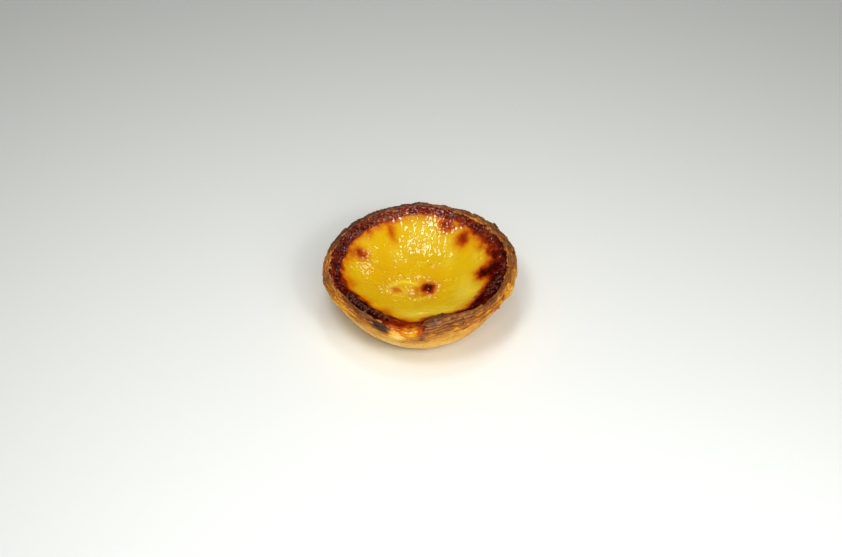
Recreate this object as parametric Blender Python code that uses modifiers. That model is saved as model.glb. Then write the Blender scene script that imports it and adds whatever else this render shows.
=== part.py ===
"""A Portuguese custard tart, baked in a small round tin and turned out of it.

The tart has two pieces. The flaky pastry case is a flat-bottomed cup with a rounded rim.
The custard fills it, and its top sank into a dish as it cooled, with a shallow hollow and
two burnt blisters in the middle. Both are turned shapes. The tin is round but the baked
rim isn't, so the same swells, sags and inward fold are worked into both pieces after they
are turned, which keeps the gap between them.

Metres, +Z up. The origin is the middle of the flat base, and -Y is the front of the tart.
"""

import math

import bpy
import numpy as np

MM = 0.001

# The pastry case, before its rim is worked out of round
BASE_RADIUS = 23.5 * MM
RIM_RADIUS = 38.8 * MM
RIM_HALF_WIDTH = 2.5 * MM
WIDEST_HEIGHT = 20.4 * MM
CREST_HEIGHT = 22.7 * MM
FLOOR_THICKNESS = 2.8 * MM
FLOOR_RADIUS = 20.5 * MM
WALL_CURVE = 0.7  # 1 would be a straight cone; less rounds the heel and bows the wall

# The custard
GAP = 0.35 * MM
DISH_FLOOR = 11.3 * MM
DISH_RADIUS = 31.0 * MM
DISH_EDGE_HEIGHT = 20.4 * MM
DISH_CURVE = 2.6
SHOULDER_LENGTH = 1.2 * MM  # how fast the slope of the dish fades out beyond its edge

# The uneven bake: angle and half width in degrees, then how far the rim goes outward,
# upward, and how far its inner side flops in over the custard, in millimetres
RIM_LOBES = (
    (20, 18, 1.0, 0.2, 0.0),
    (50, 20, 0.6, 0.2, 0.0),
    (90, 20, 0.2, 1.2, 0.0),
    (130, 20, 0.2, 0.0, 0.0),
    (160, 18, -0.4, 0.5, 0.0),
    (188, 16, 0.6, -1.2, 0.0),
    (216, 16, -0.3, 0.0, 0.0),
    (240, 16, -0.3, -0.3, 0.0),
    (262, 14, 0.4, -1.6, 0.0),
    (292, 18, 0.0, 0.0, 2.0),
    (320, 18, -0.3, 0.4, 0.8),
    (345, 16, 0.0, 0.3, 0.0),
)
LOBE_FADE = 1.2  # how quickly the lobes fade out from the crest down to the flat base
FOLD_RADIUS = 35.0 * MM
FOLD_REACH = 3.6 * MM

# Hollows and blisters in the custard: middle and half widths along X and Y, then height
CUSTARD_MARKS = (
    (-3.5, -1.8, 10.0, 6.0, -0.9),
    (2.6, -1.0, 2.9, 2.3, 1.1),
    (-9.8, -3.0, 2.4, 2.0, 0.8),
)

TURN_STEPS = 84
WALL_POINTS = 10
WALL_SPACING = 1.6  # sets the wall's points closer together at its rounded heel
RIM_POINTS = 9
DISH_POINTS = 18
SHOULDER_POINTS = 4

PASTRY_COLOUR = (0.50, 0.25, 0.055, 1.0)
CUSTARD_COLOUR = (0.72, 0.46, 0.012, 1.0)


def clear_scene():
    for old in list(bpy.data.objects):
        bpy.data.objects.remove(old, do_unlink=True)


def make_material(name, colour, roughness):
    material = bpy.data.materials.new(name)
    material.use_nodes = True
    shader = material.node_tree.nodes["Principled BSDF"]
    shader.inputs["Base Color"].default_value = colour
    shader.inputs["Roughness"].default_value = roughness
    shader.inputs["Metallic"].default_value = 0.0
    return material


def wall_points(low_radius, low_height, high_radius, high_height):
    """The bowed side of a cup, from its foot up to its widest level, as (radius, height)."""
    points = []
    for i in range(WALL_POINTS):
        up = (i / (WALL_POINTS - 1)) ** WALL_SPACING
        out = up**WALL_CURVE
        points.append(
            (
                low_radius + (high_radius - low_radius) * out,
                low_height + (high_height - low_height) * up,
            )
        )
    return points


def rim_points():
    """The rounded rim, from its inner side over the crest to its outer side."""
    middle = RIM_RADIUS - RIM_HALF_WIDTH
    points = []
    for i in range(1, RIM_POINTS - 1):
        turn = math.pi * (1 - i / (RIM_POINTS - 1))
        radius = middle + RIM_HALF_WIDTH * math.cos(turn)
        height = WIDEST_HEIGHT + (CREST_HEIGHT - WIDEST_HEIGHT) * math.sin(turn)
        points.append((radius, height))
    return points


def dish_height(radius):
    """The custard's top: a dish whose slope fades out beyond its edge, against the rim."""
    depth = DISH_EDGE_HEIGHT - DISH_FLOOR
    if radius <= DISH_RADIUS:
        return DISH_FLOOR + depth * (radius / DISH_RADIUS) ** DISH_CURVE
    edge_slope = depth * DISH_CURVE / DISH_RADIUS
    beyond = (radius - DISH_RADIUS) / SHOULDER_LENGTH
    return DISH_EDGE_HEIGHT + edge_slope * SHOULDER_LENGTH * (1 - math.exp(-beyond))


def case_profile():
    """From the middle of the cup's floor, up inside, over the rim, down outside, and in."""
    inner_rim = RIM_RADIUS - 2 * RIM_HALF_WIDTH
    inside = wall_points(FLOOR_RADIUS, FLOOR_THICKNESS, inner_rim, WIDEST_HEIGHT)
    outside = wall_points(BASE_RADIUS, 0.0, RIM_RADIUS, WIDEST_HEIGHT)
    floor = [(0.0, FLOOR_THICKNESS)]
    base = [(0.0, 0.0)]
    return floor + inside + rim_points() + outside[::-1] + base


def custard_profile():
    """From the middle of the dish out to the rim, then down the cup's wall to its floor."""
    edge = RIM_RADIUS - 2 * RIM_HALF_WIDTH - GAP
    underside = wall_points(
        FLOOR_RADIUS - GAP, FLOOR_THICKNESS + GAP, edge, WIDEST_HEIGHT - GAP
    )
    top = []
    for i in range(DISH_POINTS):
        radius = DISH_RADIUS * i / (DISH_POINTS - 1)
        top.append((radius, dish_height(radius)))
    for i in range(1, SHOULDER_POINTS + 1):
        radius = DISH_RADIUS + (edge - DISH_RADIUS) * i / SHOULDER_POINTS
        top.append((radius, dish_height(radius)))
    return top + underside[::-1] + [(0.0, FLOOR_THICKNESS + GAP)]


def turned_mesh(name, profile):
    """The closed surface that the profile sweeps round the Z axis."""
    line = bpy.data.meshes.new(name + "_profile")
    edges = [(i, i + 1) for i in range(len(profile) - 1)]
    line.from_pydata([(radius, 0.0, height) for radius, height in profile], edges, [])
    guide = bpy.data.objects.new(name + "_profile", line)
    bpy.context.scene.collection.objects.link(guide)
    screw = guide.modifiers.new("turn", "SCREW")
    screw.steps = TURN_STEPS
    screw.render_steps = TURN_STEPS
    screw.use_merge_vertices = True
    screw.merge_threshold = 0.00001
    screw.use_smooth_shade = True
    graph = bpy.context.evaluated_depsgraph_get()
    mesh = bpy.data.meshes.new_from_object(guide.evaluated_get(graph))
    mesh.name = name
    bpy.data.objects.remove(guide, do_unlink=True)
    bpy.data.meshes.remove(line)
    return mesh


def read_points(mesh):
    flat = np.empty(len(mesh.vertices) * 3)
    mesh.vertices.foreach_get("co", flat)
    return flat.reshape(-1, 3)


def write_points(mesh, points):
    mesh.vertices.foreach_set("co", points.ravel())
    mesh.update()


def mark_custard(points):
    """Sinks the hollow and raises the blisters, on the dish's upper surface only."""
    radius = np.hypot(points[:, 0], points[:, 1])
    on_top = (radius < DISH_RADIUS) & (points[:, 2] > DISH_FLOOR - MM)
    for x, y, half_x, half_y, height in CUSTARD_MARKS:
        across = (points[:, 0] / MM - x) / half_x
        along = (points[:, 1] / MM - y) / half_y
        bump = height * MM * np.exp(-(across**2) - along**2)
        points[:, 2] += np.where(on_top, bump, 0.0)
    return points


def work_out_of_round(points):
    """Moves the round tart's points by the rim lobes, which fade out towards the base."""
    x, y, z = points.T
    radius = np.hypot(x, y)
    angle = np.arctan2(y, x)
    outward = np.zeros(len(points))
    upward = np.zeros(len(points))
    inward = np.zeros(len(points))
    for middle, half_width, out, up, fold in RIM_LOBES:
        away = (angle - math.radians(middle) + math.pi) % (2 * math.pi) - math.pi
        swell = np.exp(-((away / math.radians(half_width)) ** 2))
        outward += out * MM * swell
        upward += up * MM * swell
        inward += fold * MM * swell
    share = np.clip(z / CREST_HEIGHT, 0.0, 1.0) ** LOBE_FADE
    near_fold = np.exp(-(((radius - FOLD_RADIUS) / FOLD_REACH) ** 2))
    new_radius = radius * (1 + share * outward / RIM_RADIUS) - share * inward * near_fold
    lift = share * upward * (radius / RIM_RADIUS) ** 2
    return np.column_stack(
        (new_radius * np.cos(angle), new_radius * np.sin(angle), z + lift)
    )


def add_piece(name, mesh, material, collection):
    mesh.materials.clear()
    mesh.materials.append(material)
    piece = bpy.data.objects.new(name, mesh)
    collection.objects.link(piece)
    return piece


def build_pastry_case(collection):
    mesh = turned_mesh("pastry_case", case_profile())
    write_points(mesh, work_out_of_round(read_points(mesh)))
    pastry = make_material("baked pastry", PASTRY_COLOUR, 0.6)
    return add_piece("pastry_case", mesh, pastry, collection)


def build_custard_filling(collection):
    mesh = turned_mesh("custard_filling", custard_profile())
    points = mark_custard(read_points(mesh))
    write_points(mesh, work_out_of_round(points))
    custard = make_material("baked custard", CUSTARD_COLOUR, 0.25)
    return add_piece("custard_filling", mesh, custard, collection)


def build_tart():
    clear_scene()
    collection = bpy.data.collections.new("custard_tart")
    bpy.context.scene.collection.children.link(collection)
    build_pastry_case(collection)
    build_custard_filling(collection)


build_tart()
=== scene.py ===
import math

import bpy
import numpy as np
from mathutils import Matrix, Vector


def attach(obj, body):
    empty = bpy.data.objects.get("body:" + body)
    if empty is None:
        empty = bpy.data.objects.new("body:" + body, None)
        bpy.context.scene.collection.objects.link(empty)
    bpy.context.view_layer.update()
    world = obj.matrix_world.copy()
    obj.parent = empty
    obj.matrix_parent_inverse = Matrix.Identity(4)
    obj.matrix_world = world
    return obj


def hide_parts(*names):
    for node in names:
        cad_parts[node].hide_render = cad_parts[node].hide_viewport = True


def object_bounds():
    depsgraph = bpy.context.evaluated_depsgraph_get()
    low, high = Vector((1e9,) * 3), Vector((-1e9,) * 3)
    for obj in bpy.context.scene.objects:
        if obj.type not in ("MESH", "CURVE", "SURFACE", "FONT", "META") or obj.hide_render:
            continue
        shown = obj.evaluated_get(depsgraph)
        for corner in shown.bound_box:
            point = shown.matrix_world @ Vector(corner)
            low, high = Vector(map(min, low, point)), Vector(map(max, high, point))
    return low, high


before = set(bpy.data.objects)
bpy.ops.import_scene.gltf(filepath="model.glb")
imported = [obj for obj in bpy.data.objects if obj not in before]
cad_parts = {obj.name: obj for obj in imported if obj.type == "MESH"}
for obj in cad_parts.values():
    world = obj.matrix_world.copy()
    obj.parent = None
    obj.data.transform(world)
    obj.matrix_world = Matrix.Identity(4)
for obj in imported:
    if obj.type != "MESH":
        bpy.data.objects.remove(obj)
cad_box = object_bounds()

# ---------------------------------------------------------------------------------------
# The pastry case. A slice of rolled puff pastry is thumbed into a small round tin, so its
# thin buttery layers wind round the base and up the wall, and fan out along the rim. It
# bakes to a flaky cup, paler low down, with broken leaf ends and one scorched patch.
# Lengths in the trees are millimetres, and become metres in each tree's last step.
# ---------------------------------------------------------------------------------------

BASE_RADIUS = 23.5
RIM_RADIUS = 38.8
RIM_HALF_WIDTH = 2.5
RIM_MIDDLE = RIM_RADIUS - RIM_HALF_WIDTH
WIDEST_HEIGHT = 20.4
CREST_HEIGHT = 22.7
FLOOR_THICKNESS = 2.8
FLOOR_RADIUS = 20.5
WALL_CURVE = 0.7
LOBE_FADE = 1.2
FOLD_RADIUS = 35.0
FOLD_REACH = 3.6

# Angle and half width in degrees, then how far the rim goes out, up and inward
RIM_LOBES = (
    (20, 18, 1.0, 0.2, 0.0),
    (50, 20, 0.6, 0.2, 0.0),
    (90, 20, 0.2, 1.2, 0.0),
    (130, 20, 0.2, 0.0, 0.0),
    (160, 18, -0.4, 0.5, 0.0),
    (188, 16, 0.6, -1.2, 0.0),
    (216, 16, -0.3, 0.0, 0.0),
    (240, 16, -0.3, -0.3, 0.0),
    (262, 14, 0.4, -1.6, 0.0),
    (292, 18, 0.0, 0.0, 2.0),
    (320, 18, -0.3, 0.4, 0.8),
    (345, 16, 0.0, 0.3, 0.0),
)

# Where a leaf of pastry ends on the rim, in degrees, and how far it stands out there
LEAF_ENDS = (
    (3, 0.5), (14, 0.9), (25, 1.1), (36, 1.2), (47, 1.1), (59, 0.9), (71, 0.6), (86, 0.4),
    (103, 0.4), (117, 0.6), (131, 0.7), (144, 0.9), (157, 0.8), (170, 0.6), (189, 0.4),
    (207, 0.4), (229, 0.5), (251, 0.5), (284, 0.3), (306, 0.5), (321, 0.6), (336, 0.6),
    (350, 0.6),
)


# How far past the crest of the rim the caramel covers the pastry, in mm, by degrees
CARAMEL_TO = (
    (0, -1.4), (15, -0.6), (30, -0.4), (60, -0.5), (78, 0.1), (90, -0.3), (105, -0.7),
    (120, 0.0), (150, 0.2), (180, 0.3), (195, -0.7), (208, -1.9), (235, -1.8),
    (243, -0.4), (250, 0.6), (257, 2.4), (266, 3.4), (273, 1.4), (278, -5.2),
    (295, -5.4), (303, -1.8), (312, -0.7), (325, -1.3), (345, -1.9), (360, -1.4),
)


class Value:
    """One socket in a node tree. Arithmetic written on it adds the tree's Math nodes."""

    def __init__(self, graph, socket):
        self.graph = graph
        self.socket = socket

    def output(self, name):
        return Value(self.graph, self.socket.node.outputs[name])

    def math(self, operation, *others):
        sockets = dict(enumerate((self,) + others))
        return self.graph.node("ShaderNodeMath", {"operation": operation}, sockets)

    def clipped(self, low=0.0, high=1.0):
        return self.math("MAXIMUM", low).math("MINIMUM", high)

    def ramp(self, low, high, start=0.0, end=1.0):
        """Goes smoothly from start to end as this value goes from low to high."""
        sockets = {"Value": self, "From Min": low, "From Max": high}
        sockets.update({"To Min": start, "To Max": end})
        return self.graph.node(
            "ShaderNodeMapRange", {"interpolation_type": "SMOOTHSTEP"}, sockets
        )

    def __add__(self, other):
        return self.math("ADD", other)

    def __sub__(self, other):
        return self.math("SUBTRACT", other)

    def __rsub__(self, other):
        sockets = {0: other, 1: self}
        return self.graph.node("ShaderNodeMath", {"operation": "SUBTRACT"}, sockets)

    def __mul__(self, other):
        return self.math("MULTIPLY", other)

    def __truediv__(self, other):
        return self.math("DIVIDE", other)

    def __pow__(self, other):
        return self.math("POWER", other)

    __radd__ = __add__
    __rmul__ = __mul__


class Graph:
    """A node tree that is being built, for a shape or for a material."""

    def __init__(self, tree):
        self.tree = tree

    def node(self, kind, settings=None, sockets=None, output=0):
        """Adds a node: its settings first, then the values or links of its sockets."""
        made = self.tree.nodes.new(kind)
        for name, setting in (settings or {}).items():
            if name == "points":
                self.set_curve(made.mapping, setting)
            elif name == "stops":
                self.set_stops(made.color_ramp, setting)
            else:
                setattr(made, name, setting)
        for name, value in (sockets or {}).items():
            if isinstance(value, Value):
                self.tree.links.new(value.socket, made.inputs[name])
            else:
                made.inputs[name].default_value = value
        return Value(self, made.outputs[output]) if made.outputs else None

    def set_curve(self, mapping, points):
        curve = mapping.curves[0]
        while len(curve.points) < len(points):
            curve.points.new(0.5, 0.5)
        for point, place in zip(curve.points, points):
            point.location = place
        mapping.update()

    def set_stops(self, ramp, stops):
        while len(ramp.elements) < len(stops):
            ramp.elements.new(0.5)
        for element, (place, colour) in zip(ramp.elements, stops):
            element.position = place
            element.color = colour


def noise(graph, where, size, detail=2.0, seed=None):
    """A soft random value round 0.5, whose lumps are about this size in millimetres."""
    settings = {"noise_dimensions": "3D" if seed is None else "4D"}
    sockets = {"Vector": where, "Scale": 1.0 / size, "Detail": detail}
    if seed is not None:
        sockets["W"] = seed
    return graph.node("ShaderNodeTexNoise", settings, sockets)


def bell(value, middle, half_width):
    """1 at the middle, falling smoothly to nothing beyond the half width."""
    away = (value - middle) / half_width
    return (away * away * -1.0).math("EXPONENT")


def blob(graph, where, middle, half_widths):
    """1 at a place, falling smoothly to nothing beyond the half widths round it."""
    scale = [1.0 / half_width for half_width in half_widths]
    shift = [-at / half_width for at, half_width in zip(middle, half_widths)]
    sockets = {0: where, 1: scale, 2: shift}
    away = graph.node("ShaderNodeVectorMath", {"operation": "MULTIPLY_ADD"}, sockets)
    settings = {"operation": "DOT_PRODUCT"}
    square = graph.node("ShaderNodeVectorMath", settings, {0: away, 1: away}, "Value")
    sockets = {0: math.exp(-1.0), 1: square}
    return graph.node("ShaderNodeMath", {"operation": "POWER"}, sockets)


def short_way(degrees):
    """Degrees of turn, the short way round."""
    return (degrees + 180.0) % 360.0 - 180.0


def rim_moves(degrees):
    """How far the uneven bake moves the rim out, up and inward, at these bearings."""
    moves = np.zeros((3, len(degrees)))
    for middle, half_width, *reach in RIM_LOBES:
        swell = np.exp(-((short_way(degrees - middle) / half_width) ** 2))
        moves += np.outer(reach, swell)
    return dict(zip(("outward", "upward", "inward"), moves))


def worked_out_of_round(graph, radius, height, outward, upward, inward):
    """Moves a point of the round tart by the rim's moves at its bearing."""
    share = (height / CREST_HEIGHT).clipped() ** LOBE_FADE
    fold_share = share * inward * bell(radius, FOLD_RADIUS, FOLD_REACH)
    radius = radius * (share * outward / RIM_RADIUS + 1.0) - fold_share
    return radius, height + share * upward * (radius / RIM_RADIUS) ** 2.0


def spun(graph, radius, angle, height, scale=1.0):
    """The point at this radius, angle and height."""
    x = radius * angle.math("COSINE")
    y = radius * angle.math("SINE")
    point = graph.node("ShaderNodeCombineXYZ", None, {"X": x, "Y": y, "Z": height})
    settings = {"operation": "SCALE"}
    return graph.node("ShaderNodeVectorMath", settings, {0: point, "Scale": scale})


def kept_in_box(graph, point):
    """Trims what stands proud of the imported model's box."""
    settings = {"operation": "MINIMUM"}
    low, high = (tuple(corner) for corner in cad_box)
    point = graph.node("ShaderNodeVectorMath", settings, {0: point, 1: high})
    settings = {"operation": "MAXIMUM"}
    return graph.node("ShaderNodeVectorMath", settings, {0: point, 1: low})


def new_shape(name, sizes):
    """An empty geometry tree, with a named input for each size, and those inputs."""
    tree = bpy.data.node_groups.new(name, "GeometryNodeTree")
    tree.interface.new_socket("Geometry", in_out="OUTPUT", socket_type="NodeSocketGeometry")
    tree.interface.new_socket("Geometry", in_out="INPUT", socket_type="NodeSocketGeometry")
    for label, size in sizes.items():
        kind = "NodeSocketInt" if isinstance(size, int) else "NodeSocketFloat"
        tree.interface.new_socket(label, in_out="INPUT", socket_type=kind)
    graph = Graph(tree)
    given = graph.node("NodeGroupInput")
    return graph, {label: given.output(label) for label in ["Geometry", *sizes]}


def save(graph, geometry, name, value, kind="FLOAT"):
    """Keeps a value on the points under a name, for a material or a later tree."""
    settings = {"data_type": kind, "domain": "POINT"}
    sockets = {"Geometry": geometry, "Name": name, "Value": value}
    return graph.node("GeometryNodeStoreNamedAttribute", settings, sockets)


def read(graph, name, kind="FLOAT"):
    settings = {"data_type": kind}
    return graph.node("GeometryNodeInputNamedAttribute", settings, {"Name": name})


def end_shape(graph, geometry, material):
    """The last nodes of every tree: real faces, smooth, with their material."""
    sockets = {"Geometry": geometry}
    geometry = graph.node("GeometryNodeRealizeInstances", None, sockets)
    geometry = graph.node("GeometryNodeSetShadeSmooth", None, {"Geometry": geometry})
    sockets = {"Geometry": geometry, "Material": material}
    geometry = graph.node("GeometryNodeSetMaterial", None, sockets)
    graph.node("NodeGroupOutput", None, {"Geometry": geometry})


def shaped(name, guide, graph, sizes, material):
    """Runs a tree on a guide mesh and keeps the result as a plain piece."""
    piece = bpy.data.objects.new(name, guide)
    bpy.context.scene.collection.objects.link(piece)
    modifier = piece.modifiers.new("shape", "NODES")
    modifier.node_group = graph.tree
    for item in graph.tree.interface.items_tree:
        if item.name in sizes:
            modifier[item.identifier] = sizes[item.name]
    now = bpy.context.evaluated_depsgraph_get()
    mesh = bpy.data.meshes.new_from_object(
        piece.evaluated_get(now), preserve_all_data_layers=True, depsgraph=now
    )
    piece.modifiers.clear()
    piece.data = mesh
    mesh.name = name
    mesh.materials.clear()
    mesh.materials.append(material)
    return piece


def evenly(points, count):
    """The same line with its points set evenly along it."""
    points = np.array(points)
    steps = np.hypot(*np.diff(points, axis=0).T)
    run = np.concatenate([[0.0], np.cumsum(steps)])
    wanted = np.linspace(0.0, run[-1], count)
    return np.column_stack([np.interp(wanted, run, side) for side in points.T])


def wall_line(low_radius, low_height, high_radius, high_height, count):
    """The bowed side of a cup, from its foot up to its widest level."""
    up = np.linspace(0.0, 1.0, 200) ** 1.6
    radius = low_radius + (high_radius - low_radius) * up**WALL_CURVE
    height = low_height + (high_height - low_height) * up
    return evenly(np.column_stack([radius, height]), count)


def rim_line(start, end, count):
    """Over the rim, between two turns of it in degrees: 180 is inside and 0 outside."""
    turn = np.radians(np.linspace(start, end, count))
    radius = RIM_MIDDLE + RIM_HALF_WIDTH * np.cos(turn)
    height = WIDEST_HEIGHT + (CREST_HEIGHT - WIDEST_HEIGHT) * np.sin(turn)
    return np.column_stack([radius, height])


def straight(start, end, count):
    return np.linspace(start, end, count)


def joined(*lines):
    """One line out of several, leaving out the points that two of them share."""
    return np.concatenate([lines[0], *[line[1:] for line in lines[1:]]])


def guide_mesh(name, line, steps, round_values):
    """What a tree builds from: the profile's points in the XZ plane, each keeping how far
    it is past the crest of the rim and the way its surface faces, then one point for each
    step round the tart, keeping the values that change with the bearing."""
    mesh = bpy.data.meshes.new(name)
    points = [(radius, 0.0, height) for radius, height in line]
    edges = [(i, i + 1) for i in range(len(line) - 1)]
    mesh.from_pydata(points + [(0.0, 0.0, 0.0)] * (steps + 1), edges, [])
    run = np.concatenate([[0.0], np.cumsum(np.hypot(*np.diff(line, axis=0).T))])
    crest = run[int(np.argmax(line[:, 1]))]
    along = np.gradient(line, run, axis=0)
    along /= np.hypot(*along.T)[:, None]
    facing = np.zeros((len(mesh.vertices), 3))
    facing[: len(line), 0] = -along[:, 1]
    facing[: len(line), 2] = along[:, 0]
    field = mesh.attributes.new("facing", "FLOAT_VECTOR", "POINT")
    field.data.foreach_set("vector", facing.ravel())
    field = mesh.attributes.new("run", "FLOAT", "POINT")
    field.data.foreach_set("value", np.pad(run - crest, (0, steps + 1)))
    for label, values in round_values.items():
        field = mesh.attributes.new(label, "FLOAT", "POINT")
        field.data.foreach_set("value", np.pad(values, (len(line), 0)))
    return mesh, crest


def sample(graph, geometry, value, index, kind="FLOAT"):
    settings = {"data_type": kind, "domain": "POINT"}
    sockets = {"Geometry": geometry, "Value": value, "Index": index}
    return graph.node("GeometryNodeSampleIndex", settings, sockets)


def parts_of(graph, vector):
    first = graph.node("ShaderNodeSeparateXYZ", None, {"Vector": vector})
    return first, first.output("Y"), first.output("Z")


def turning_grid(graph, rows, steps):
    """A grid to be wrapped round the tart: each point's row, its step round, its angle."""
    sockets = {"Vertices X": rows, "Vertices Y": steps + 1}
    sockets.update({"Size X": 1.0, "Size Y": 1.0})
    grid = graph.node("GeometryNodeMeshGrid", None, sockets)
    index = graph.node("GeometryNodeInputIndex")
    row = (index / (steps + 1) + 0.0001).math("FLOOR")
    step = index - row * (steps + 1)
    return grid, row, step, step / steps * (2 * math.pi)


def closed_up(graph, geometry, place):
    """Moves the grid's points to their places, then closes its seam and its poles."""
    sockets = {"Geometry": geometry, "Position": place}
    geometry = graph.node("GeometryNodeSetPosition", None, sockets)
    sockets = {"Geometry": geometry, "Distance": 1e-6}
    return graph.node("GeometryNodeMergeByDistance", None, sockets)


def field(mesh, name, width=1):
    """A value kept on a mesh's points, as an array."""
    values = np.empty(len(mesh.vertices) * width)
    label = "value" if width == 1 else "vector"
    mesh.attributes[name].data.foreach_get(label, values)
    return values if width == 1 else values.reshape(-1, width)


def set_field(mesh, name, values):
    if name not in mesh.attributes:
        mesh.attributes.new(name, "FLOAT", "POINT")
    mesh.attributes[name].data.foreach_set("value", values)


def paint(red, green, blue):
    """A colour as the eye reads it, 0 to 255, in the linear values that shaders take."""
    linear = []
    for part in (red / 255, green / 255, blue / 255):
        linear.append(part / 12.92 if part <= 0.04045 else ((part + 0.055) / 1.055) ** 2.4)
    return (*linear, 1.0)


def blend(graph, share, first, second, mode="MIX"):
    """Mixes two colours."""
    settings = {"data_type": "RGBA", "blend_type": mode}
    sockets = {"Factor": share, 6: first, 7: second}
    return graph.node("ShaderNodeMix", settings, sockets, output=2)


def new_material(name, finish):
    """A material with the finish that is the same all over it set on its shader."""
    material = bpy.data.materials.new(name)
    material.use_nodes = True
    shader = material.node_tree.nodes["Principled BSDF"]
    for label, value in finish.items():
        shader.inputs[label].default_value = value
    return material, Graph(material.node_tree), shader


def connect(graph, value, shader, label):
    graph.tree.links.new(value.socket, shader.inputs[label])


def millimetres(graph):
    """Object coordinates in millimetres, to set patterns out at their real size."""
    place = graph.node("ShaderNodeTexCoord", None, None, "Object")
    settings = {"operation": "SCALE"}
    return graph.node("ShaderNodeVectorMath", settings, {0: place, "Scale": 1000.0})


def kept(graph, name):
    settings = {"attribute_name": name}
    return graph.node("ShaderNodeAttribute", settings, None, "Fac")


def bump(graph, height, depth, normal=None):
    """Surface relief in millimetres, too fine for the mesh."""
    sockets = {"Height": height, "Distance": depth * 0.001, "Strength": 1.0}
    if normal is not None:
        sockets["Normal"] = normal
    return graph.node("ShaderNodeBump", None, sockets)


# The bake of puff pastry, from raw-looking dough to scorched
BAKE_COLOURS = (
    (0.00, paint(255, 230, 158)),
    (0.20, paint(246, 198, 92)),
    (0.38, paint(232, 166, 42)),
    (0.54, paint(196, 122, 26)),
    (0.68, paint(148, 84, 26)),
    (0.82, paint(96, 52, 14)),
    (1.00, paint(50, 30, 24)),
)

pastry, graph, shader = new_material(
    "baked pastry",
    {
        "Subsurface Weight": 0.12,
        "Subsurface Scale": 0.002,
        "Specular IOR Level": 0.3,
        "Coat Roughness": 0.18,
    },
)
shader.inputs["Subsurface Radius"].default_value = (1.0, 0.5, 0.2)
where = millimetres(graph)
fine = noise(graph, where, 0.55, 3.0)
coarse = noise(graph, where, 3.2, 3.0)
freckle = noise(graph, where, 0.23, 2.0)
bake = kept(graph, "bake") + (coarse - 0.5) * 0.22 + (fine - 0.5) * 0.34
bake = bake + (freckle - 0.5) * 0.16
settings = {"stops": BAKE_COLOURS}
colour = graph.node("ShaderNodeValToRGB", settings, {"Fac": bake.clipped()})
syrup = (kept(graph, "syrup") * (1.5 - fine)).clipped(0.0, 0.92)
colour = blend(graph, syrup, colour, paint(84, 24, 12))
connect(graph, colour, shader, "Base Color")
gloss = kept(graph, "gloss")
rough = (0.58 + (fine - 0.5) * 0.3 - gloss * 0.3).clipped(0.16, 0.9)
connect(graph, rough, shader, "Roughness")
connect(graph, (gloss * 0.8 + 0.02).clipped(), shader, "Coat Weight")
relief = bump(graph, fine * 0.7 + freckle * 0.4, 0.10)
connect(graph, relief, shader, "Normal")

SHELL_SIZES = {
    "Steps round": 430,
    "Layer pitch": 0.95,
    "Layer depth on wall": 0.22,
    "Layer depth on rim": 0.64,
    "Layer wander": 1.9,
    "Puff": 0.6,
    "Base spiral pitch": 2.3,
    "Base spiral depth": 0.35,
    "Leaf end": 0.8,
    "Fold reach": 5.2,
    "Fold pleats": 0.42,
}


def leaf_steps(degrees):
    """How far the leaves stand out round the rim: each one steps out, then dies away."""
    stand = np.zeros(len(degrees))
    for end, height in LEAF_ENDS:
        past = short_way(degrees - end)
        rise = np.clip(past / 1.6, 0.0, 1.0) ** 0.5
        stand += height * rise * np.clip(1.0 - past / 12.0, 0.0, 1.0) ** 0.7
    return stand


def round_table(table, degrees):
    """Reads a table of bearings and values smoothly at any bearing."""
    at, values = np.array(table, dtype=float).T
    near = np.arange(-4, 5)
    weights = np.exp(-((near / 2.0) ** 2))
    total = np.zeros(len(degrees))
    for shift, weight in zip(near, weights):
        total += weight * np.interp(degrees + shift, at, values, period=360.0)
    return total / weights.sum()


# At the front right a leaf flopped in over the custard: how much, by degrees
FOLDED = (
    (0, 0.0), (268, 0.0), (275, 0.75), (282, 1.0), (292, 1.0), (300, 0.7), (308, 0.25),
    (316, 0.08), (330, 0.0), (360, 0.0),
)


shell_steps = SHELL_SIZES["Steps round"]
degrees = np.linspace(0.0, 360.0, shell_steps + 1)
round_values = rim_moves(degrees)
round_values["stand"] = leaf_steps(degrees)
round_values["folded"] = round_table(FOLDED, degrees)
round_values["caramel_to"] = round_table(CARAMEL_TO, degrees)
# the inside wall is hidden under the custard, so only its top is finely divided
inside_wall = wall_line(FLOOR_RADIUS, FLOOR_THICKNESS, 33.8, WIDEST_HEIGHT, 120)
shell_line = joined(
    straight((0.02, FLOOR_THICKNESS), (FLOOR_RADIUS, FLOOR_THICKNESS), 5),
    inside_wall[:84:12],
    inside_wall[83::2],
    rim_line(180, 0, 46),
    wall_line(BASE_RADIUS, 0.0, RIM_RADIUS, WIDEST_HEIGHT, 116)[::-1],
    straight((BASE_RADIUS, 0.0), (0.02, 0.0), 38),
)
shell_guide, shell_crest = guide_mesh("shell_line", shell_line, shell_steps, round_values)

graph, size = new_shape("thumbed and layered pastry", SHELL_SIZES)
guide = size["Geometry"]
rows = len(shell_line)
grid, row, step, angle = turning_grid(graph, rows, size["Steps round"])
position = graph.node("GeometryNodeInputPosition")
across, _, up = parts_of(graph, sample(graph, guide, position, row, "FLOAT_VECTOR"))
facing = read(graph, "facing", "FLOAT_VECTOR")
face_out, _, face_up = parts_of(graph, sample(graph, guide, facing, row, "FLOAT_VECTOR"))
run = sample(graph, guide, read(graph, "run"), row)
where = spun(graph, across, angle, up)
turn = angle / (2 * math.pi)

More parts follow.
